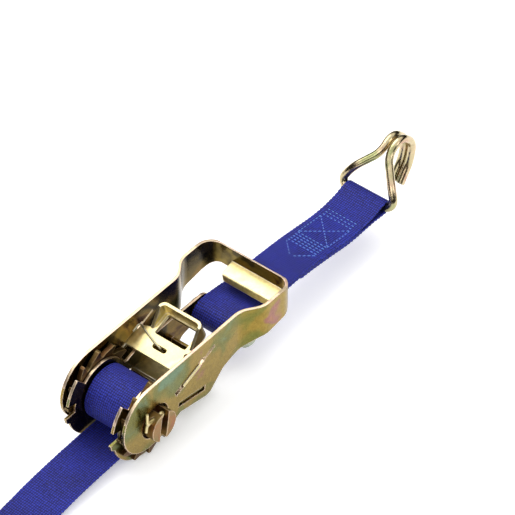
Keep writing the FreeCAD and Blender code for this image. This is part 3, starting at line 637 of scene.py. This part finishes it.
def wound_line():
    """Through the spool's slot from below, over its front half, and out in loose turns."""
    tilt = math.radians(81.0)
    slot = Vector((math.cos(tilt), math.sin(tilt)))
    inside = [slot * reach for reach in (-7.6, -3.0, 3.0, 7.6)]
    layer = bpy.context.scene.tie_down_webbing.thickness / MM
    first = SHAFT_CLEAR + layer / 2
    last = DRUM_HIGH[0] / MM - SPOOL.x / MM - layer / 2 - 0.08
    turned = TURNS_START + 90.0 + 360.0 * 3
    turns = swing((0, 0), first, TURNS_START, TURNS_START - turned,
                  grow=(last - first) / turned * 360)
    return round_off(inside + [slot * 9.8 + Vector((0.6, 0.0))], 2) + turns


ROLL_MIDDLE = middle_of("stowed_roll")


def run_line(lie):
    """From under the spool down to the ground and along it to the roll."""
    return round_off([
        (4.0, -16.5), (-12.0, -16.5), (-34.0, -17.1), (-52.0, -18.3), (-70.0, -20.9),
        (-90.0, lie), (-125.0, lie), (ROLL_MIDDLE[0], lie)])


def roll_line(lie):
    """Into the roll, folded back at its middle, and out again between the first turns."""
    turns = bpy.context.scene.tie_down_webbing.roll_layers
    outer = ROLL_MIDDLE[1] - lie
    inward, outward = [], []
    steps = int(turns * ROLL_STEPS)
    for i in range(1, steps + 1):
        turned = 360.0 * turns * i / steps
        tuck = ROLL_TUCK * min(1.0, turned / 90.0)
        reach = outer - ROLL_PITCH * turned / 360.0 - tuck
        angle = math.radians(-90.0 - turned)
        for points, radius in ((inward, reach), (outward, reach + ROLL_PITCH / 2)):
            if points is outward and turned < 90.0:
                continue
            points.append(Vector((ROLL_MIDDLE[0] + radius * math.cos(angle),
                                  ROLL_MIDDLE[1] + radius * math.sin(angle))))
    return inward + outward[::-1]


def tail_line(lie, layer):
    """Down the roll's side to the ground, round the hook's bar and back on itself."""
    side = ROLL_MIDDLE[0] - (ROLL_MIDDLE[1] - lie) - 0.3
    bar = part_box("end_strap")[0][0] / MM - SPOOL.x / MM + END_TO_BAR
    bar_up = lie + BAR_LOOP
    down = round_off([(side, ROLL_MIDDLE[1] - 2.0), (side, 8.0), (side - 0.3, -9.0),
                      (side - 1.2, -19.0), (side - 7.0, lie), (side - 16.0, lie),
                      (bar + 1.0, lie)])
    round_bar = swing((bar, bar_up), BAR_LOOP, -90.0, -270.0)
    above = lie + layer + LAYER_GAP
    back = round_off([(bar + 1.6, bar_up + BAR_LOOP), (bar + 5.6, above + 1.9),
                      (bar + 10.0, above),
                      (side - 15.0, above), (side - 7.6, above + 0.3),
                      (side - layer - 1.6, -17.0), (side - layer - 0.5, -8.0),
                      (side - layer - 0.3, 9.5)])
    return down + round_bar + back


def short_line():
    """From inside the sewn patch round the bolt's sleeve, out to the hook's bar and back."""
    bolt, bar = middle_of("bolt_sleeve"), HOOK_BAR
    inner = round_off([(170.0, -4.4), (160.0, -4.3), (130.0, 0.0), (118.0, 0.5), (99.0, -0.2),
                       (84.0, -7.0), (bolt[0] + 5.0, bolt[1] - 6.4),
                       (bolt[0], bolt[1] - SLEEVE_LOOP)])
    round_bolt = swing(bolt, SLEEVE_LOOP, -90.0, -270.0)
    upper = round_off([(bolt[0], bolt[1] + SLEEVE_LOOP), (bolt[0] + 8.0, bolt[1] + 6.6),
                       (95.0, 3.0), (130.0, 1.35), (148.0, -0.9), (162.0, -2.9),
                       (174.0, -2.6), (182.0, -1.2), (bar[0] - 3.0, bar[1] + 3.2),
                       (bar[0], bar[1] + BAR_LOOP)])
    round_bar = swing(bar, BAR_LOOP, 90.0, -90.0)
    under = round_off([(bar[0], bar[1] - BAR_LOOP), (bar[0] - 3.0, bar[1] - BAR_LOOP),
                       (180.0, -5.1), (162.0, -5.7), (148.0, -3.6), (130.0, -1.35),
                       (121.0, -0.8)])
    return inner, round_bolt, upper, round_bar, under


def length_of(line):
    """A line's length, in millimetres."""
    return sum((b - a).length for a, b in zip(line, line[1:]))


# ---------------------------------------------------------------- operators

class TIEDOWN_OT_camera(bpy.types.Operator):
    """Add the camera that looks down along the strap"""

    bl_idname = "tiedown.camera"
    bl_label = "Camera"

    def execute(self, context):
        look = context.scene.tie_down_studio
        level = math.cos(look.elevation)
        back = Vector((math.sin(look.azimuth) * level, -math.cos(look.azimuth) * level,
                       math.sin(look.elevation)))
        data = bpy.data.cameras.new("studio_camera")
        data.sensor_width = 36.0
        data.lens = data.sensor_width * look.distance / look.width_seen
        data.clip_start, data.clip_end = 0.05, 60.0
        camera = bpy.data.objects.new("studio_camera", data)
        context.collection.objects.link(camera)
        camera.rotation_mode = "QUATERNION"
        camera.location = SPOOL + Vector(look.aim) + back * look.distance
        camera.rotation_quaternion = (-back).to_track_quat("-Z", "Y")
        context.scene.camera = camera
        return {"FINISHED"}


class TIEDOWN_OT_long_strap(bpy.types.Operator):
    """Weave the long strap: its run, its stowed roll and its sewn end"""

    bl_idname = "tiedown.long_strap"
    bl_label = "Long strap"

    def execute(self, context):
        layer = context.scene.tie_down_webbing.thickness / MM
        lie = GROUND_UP + layer / 2 + LAYER_GAP
        tail = tail_line(lie, layer)
        line = run_line(lie) + roll_line(lie) + tail
        strap, length = webbing_band("long_strap", line, 1.1, ripple=0.12, scallop=0.34, seed=3.0)
        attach(strap, "frame")
        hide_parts("strap_run", "stowed_roll", "end_strap")
        sewn = stitch_seams("long_strap_stitching", tail, [
            [(length_of(tail) - back, -END_SEAM_HALF), (length_of(tail) - back, END_SEAM_HALF)]
            for back in END_SEAMS])
        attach(sewn, "frame")
        return {"FINISHED"}


class TIEDOWN_OT_wound_strap(bpy.types.Operator):
    """Weave the turns on the spool"""

    bl_idname = "tiedown.wound_strap"
    bl_label = "Wound strap"

    def execute(self, context):
        strap, length = webbing_band("wound_turns", wound_line(), 0.9,
                                     ripple=0.1, scallop=0.16, seed=11.0)
        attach(strap, "spool")
        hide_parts("wound_strap")
        return {"FINISHED"}


class TIEDOWN_OT_short_strap(bpy.types.Operator):
    """Weave and sew the short strap between the bolt and its hook"""

    bl_idname = "tiedown.short_strap"
    bl_label = "Short strap"

    def execute(self, context):
        inner, round_bolt, upper, round_bar, under = short_line()
        line = inner + round_bolt + upper + round_bar + under
        strap, length = webbing_band("short_strap", line, 0.8, ripple=0.16, scallop=0.42, seed=7.0)
        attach(strap, "short_strap")
        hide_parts("fixed_strap")
        start = next(i for i, p in enumerate(upper) if p.x > PATCH_START)
        sewn = stitch_seams("short_strap_stitching", upper, box_seams(length_of(upper[:start])))
        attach(sewn, "short_strap")
        return {"FINISHED"}


def finish_nodes(material, *nodes):
    """Give CAD nodes a finish."""
    for node in nodes:
        mesh = frame["nodes"][node].data
        mesh.materials.clear()
        mesh.materials.append(material)


def on_lip(spot, _facing=None):
    """Whether a face of the lever is on its front lip, which gets a painted highlight."""
    return all(low < value < high for low, value, high in zip(LIP_LOW, spot, LIP_HIGH))


def inside(spot, facing):
    """Whether a plate's face looks inwards, where painted shade darkens it."""
    if on_lip(spot):
        return False
    side_plate = abs(spot.y) > PLATES_SIDE and facing.y * spot.y < -0.6 * abs(spot.y)
    return side_plate or (spot.x > FRONT_WALL and facing.x < -0.3)


def cut_edge(spot, facing):
    """Whether a plate's face is its upper edge, cut by the press, which gets a painted highlight.
    """
    return facing.z > 0.4 and spot.z > 2.0 and not on_lip(spot)


def finish_parts(node, material, chosen):
    """Give a second finish to the faces of one node that a test chooses."""
    mesh = frame["nodes"][node].data
    mesh.materials.append(material)
    place = frame["nodes"][node].matrix_world
    turn = place.to_3x3()
    for polygon in mesh.polygons:
        if chosen((place @ polygon.center - SPOOL) / MM, turn @ polygon.normal):
            polygon.material_index = len(mesh.materials) - 1


class TIEDOWN_OT_pressed_plates(bpy.types.Operator):
    """Finish the pressed plates: frame, lever and both pawls"""

    bl_idname = "tiedown.pressed_plates"
    bl_label = "Pressed plates"

    def execute(self, context):
        film = context.scene.tie_down_plating
        patches = [(0.0, film.teal), (0.14, film.teal), (0.36, film.olive), (0.58, film.gold),
                   (0.76, film.gold), (0.88, film.rose), (1.0, film.copper)]
        lever = plated_steel("yellow_zinc_pressed_lever", patches, film.edge, 0.24, patch=1.25)
        plates = plated_steel("yellow_zinc_pressed_frame", patches, film.edge, 0.3, patch=0.8)
        # painted highlight: the pawls and the lever's front lip get a paler, lit copy of the
        # plating
        painted_lit_tints = [(0.0, "C2B880"), (0.35, "D4C48C"), (0.65, "DECE98"), (0.9, "CCAA80")]
        pawl = plated_steel("yellow_zinc_pressed_pawl_painted_highlight", painted_lit_tints, "FBF0D8", 0.3, patch=0.7)
        # painted shade: a darker copy of the plating for the faces that look inwards
        shaded = [(0.0, "2A2416"), (0.3, "463C22"), (0.5, "7A6834"), (0.66, "8A6E34"),
                  (0.8, "50351F"), (0.95, "301D18")]
        painted_shade_copy = plated_steel("yellow_zinc_painted_shade_inside", shaded, "C8A884", 0.2, patch=0.9)
        finish_nodes(lever, "handle")
        finish_nodes(plates, "frame")
        # painted highlight: a paler copy of the plating for the upward-facing upper edges
        painted_highlight_edge_tints = [(0.0, "C0A886"), (0.4, "DCC4A0"), (0.7, "E6C6A8"), (0.95, "D8A894")]
        cut = plated_steel("yellow_zinc_painted_highlight_edge", painted_highlight_edge_tints, "FFEAD6", 0.3, patch=0.8)
        finish_parts("handle", pawl, on_lip)
        finish_parts("handle", painted_shade_copy, inside)
        finish_parts("frame", painted_shade_copy, inside)
        finish_parts("handle", cut, cut_edge)
        finish_parts("frame", cut, cut_edge)
        finish_nodes(pawl, "handle_pawl", "frame_pawl")
        return {"FINISHED"}


class TIEDOWN_OT_spool_metal(bpy.types.Operator):
    """Finish the spool: half-moon shafts, ratchet wheels and split pins"""

    bl_idname = "tiedown.spool_metal"
    bl_label = "Spool metal"

    def execute(self, context):
        film = context.scene.tie_down_plating
        # painted shade: the ratchet wheels get darker tints for the shade between the plates, and
        # a weaker painted edge highlight
        shaded_wheel_tints = [(0.0, "3E3822"), (0.4, "5C4A2A"), (0.7, "5E4228"), (0.95, "6E4A3C")]
        brown = [(0.0, "7A6C40"), (0.4, "8C7348"), (0.7, "94683F"), (0.95, "96604E")]
        shaft = plated_steel("yellow_zinc_turned_shaft", brown, "E2C6A6", 0.34,
                             grain=0.5, patch=0.5)
        wheel = plated_steel("yellow_zinc_blanked_wheel_painted_shade", shaded_wheel_tints, "A8946C", 0.34,
                             grain=0.5, patch=0.6, edge_highlight=0.5)
        formed = [(0.0, "B9B27C"), (0.9, "D4BE7C")]
        pin = plated_steel("yellow_zinc_formed_pin", formed, "EFE3C0", 0.3, patch=0.3)
        finish_nodes(shaft, "mandrel_half_front", "mandrel_half_rear")
        finish_nodes(wheel, "ratchet_wheel_near", "ratchet_wheel_far")
        finish_nodes(pin, "cotter_pin_near", "cotter_pin_far")
        return {"FINISHED"}


class TIEDOWN_OT_wire_and_bolt(bpy.types.Operator):
    """Finish the bent wire hooks, the springs and the bolt"""

    bl_idname = "tiedown.wire_and_bolt"
    bl_label = "Wire and bolt"

    def execute(self, context):
        hook_tints = [(0.0, "6E8A50"), (0.25, "98986A"), (0.5, "BDAE88"), (0.72, "C6B08E"),
                      (0.92, "A8746A")]
        hooks = plated_steel("yellow_zinc_bent_wire", hook_tints, "F2EBD2", 0.14,
                             grain=0.2, patch=0.6)
        drawn = [(0.0, "7E7A68"), (0.9, "A89C78")]
        spring = plated_steel("drawn_spring_wire", drawn, "C8C2A8", 0.28, patch=0.3)
        headed = [(0.0, "8E9A86"), (0.5, "A5AC98"), (0.9, "B4B29A")]
        grey = plated_steel("clear_zinc_cold_headed", headed, "D5D8CC", 0.42,
                            grain=0.6, patch=0.4)
        finish_nodes(hooks, "double_j_hook", "end_hook")
        finish_nodes(spring, "handle_pawl_spring")
        finish_nodes(grey, "strap_bolt", "strap_bolt_nut", "bolt_sleeve")
        return {"FINISHED"}


class TIEDOWN_OT_pawl_spring(bpy.types.Operator):
    """Wind the coil spring behind the frame's pawl"""

    bl_idname = "tiedown.pawl_spring"
    bl_label = "Pawl spring"

    def execute(self, context):
        slide = next(j for j in frame["record"]["behaviour"]["joints"]
                     if j["name"] == "frame_pawl_slide")
        heading = Vector(slide["axis"]).normalized()
        side = Vector((0.0, 1.0, 0.0))
        rise = heading.cross(side)
        wire, radius = 0.4 * MM, 1.9 * MM
        turns, steps, around = 7, 20, 8
        low, high = (Vector(corner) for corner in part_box("frame_pawl_spring"))
        spread = 2 * (radius + wire) * abs(heading.z)
        length = (high.x - low.x - spread) / heading.x - 2 * wire
        start = (low + high) / 2 - heading * length / 2
        closed = 2 * wire
        verts, weave = [], []
        rings = (turns + 2) * steps + 1
        for i in range(rings):
            turn = i / steps
            run = (turn - 1) / turns * (length - 2 * closed) + closed
            # the first and last turns lie flat against the next
            run = max(min(run, length - closed), closed)
            run += closed * (min(turn, 1.0) - 1.0 + max(turn - turns - 1, 0.0))
            angle = 2 * math.pi * turn
            out = side * math.cos(angle) + rise * math.sin(angle)
            for j in range(around):
                round_wire = 2 * math.pi * j / around
                verts.append(start + heading * (run + wire * math.sin(round_wire))
                             + out * (radius + wire * math.cos(round_wire)))
                weave.append((j * wire, i * wire))
        spring = new_mesh_object("coil_spring", verts, tube_faces(0, rings, around), weave,
                                 bpy.data.materials["drawn_spring_wire"])
        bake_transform(spring)
        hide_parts("frame_pawl_spring")
        return {"FINISHED"}


class TIEDOWN_OT_studio(bpy.types.Operator):
    """Lay the floor and set the lights"""

    bl_idname = "tiedown.studio"
    bl_label = "Studio"

    def execute(self, context):
        look = context.scene.tie_down_studio
        sides = look.floor_segments
        turns = [2 * math.pi * i / sides for i in range(sides)]
        ring = [(FLOOR_RADIUS * math.cos(turned), FLOOR_RADIUS * math.sin(turned), 0.0)
                for turned in turns]
        board = new_mesh_object("studio_floor", ring, [tuple(range(sides))],
                                [(0.0, 0.0)] * sides, matt_acrylic())
        world = bpy.data.worlds.new("soft_studio")
        context.scene.world = world
        world.use_nodes = True
        tree = world.node_tree
        tree.nodes.clear()
        coords = add_node(tree, "ShaderNodeTexCoord").outputs["Generated"]
        up = add_node(tree, "ShaderNodeSeparateXYZ", links={0: coords}).outputs[2]
        ramp = add_node(tree, "ShaderNodeValToRGB", links={0: up})
        fill_ramp(ramp, [(0.0, linear("5A5A5A")), (0.08, linear("1E1C1A")),
                         (0.48, linear("2A2826")), (0.64, linear("F4F4F4")),
                         (1.0, linear("FFFFFF"))])
        sky = add_node(tree, "ShaderNodeBackground", links={0: ramp.outputs[0]}, Strength=1.35)
        out = add_node(tree, "ShaderNodeOutputWorld", links={0: sky.outputs[0]})
        out.is_active_output = True
        middle = SPOOL + Vector((0.09, 0.0, 0.0))
        for name, away, size, watts in (
                ("softbox_over", (0.15, 0.75, 1.25), 1.4, 15.0),
                ("softbox_left", (-1.3, -0.3, 0.95), 0.8, 5.0),
                ("softbox_front", (0.5, -1.4, 0.8), 0.5, 3.0)):
            data = bpy.data.lights.new(name, "AREA")
            data.shape = "SQUARE"
            data.size = size
            data.energy = watts
            lamp = bpy.data.objects.new(name, data)
            context.collection.objects.link(lamp)
            lamp.location = middle + Vector(away)
            lamp.rotation_mode = "QUATERNION"
            lamp.rotation_quaternion = (-Vector(away)).to_track_quat("-Z", "Y")
            lamp.visible_camera = False
        context.scene.view_settings.view_transform = "Standard"
        return {"FINISHED"}


class TIEDOWN_PT_panel(bpy.types.Panel):
    """Lists the steps that dress the tie down"""

    bl_label = "Tie down"
    bl_idname = "TIEDOWN_PT_panel"
    bl_space_type = "VIEW_3D"
    bl_region_type = "UI"
    bl_category = "Tie down"

    def draw(self, context):
        for step in STEPS:
            self.layout.operator(step.bl_idname)
        for group in (context.scene.tie_down_webbing, context.scene.tie_down_plating,
                      context.scene.tie_down_studio):
            for name in group.__annotations__:
                self.layout.prop(group, name)


STEPS = (
    TIEDOWN_OT_camera,
    TIEDOWN_OT_long_strap,
    TIEDOWN_OT_wound_strap,
    TIEDOWN_OT_short_strap,
    TIEDOWN_OT_pressed_plates,
    TIEDOWN_OT_spool_metal,
    TIEDOWN_OT_wire_and_bolt,
    TIEDOWN_OT_pawl_spring,
    TIEDOWN_OT_studio,
)
CLASSES = (TieDownWebbing, TieDownPlating, TieDownStudio) + STEPS + (TIEDOWN_PT_panel,)


def register():
    """Add the classes and the scene's settings."""
    for cls in CLASSES:
        bpy.utils.register_class(cls)
    bpy.types.Scene.tie_down_webbing = PointerProperty(type=TieDownWebbing)
    bpy.types.Scene.tie_down_plating = PointerProperty(type=TieDownPlating)
    bpy.types.Scene.tie_down_studio = PointerProperty(type=TieDownStudio)


def unregister():
    """Take the classes and the scene's settings away."""
    del bpy.types.Scene.tie_down_studio
    del bpy.types.Scene.tie_down_plating
    del bpy.types.Scene.tie_down_webbing
    for cls in reversed(CLASSES):
        bpy.utils.unregister_class(cls)


def main():
    """Run every step in order."""
    register()
    bpy.ops.tiedown.camera()
    bpy.ops.tiedown.long_strap()
    bpy.ops.tiedown.wound_strap()
    bpy.ops.tiedown.short_strap()
    bpy.ops.tiedown.pressed_plates()
    bpy.ops.tiedown.spool_metal()
    bpy.ops.tiedown.wire_and_bolt()
    bpy.ops.tiedown.pawl_spring()
    bpy.ops.tiedown.studio()


if __name__ == "__main__":
    main()
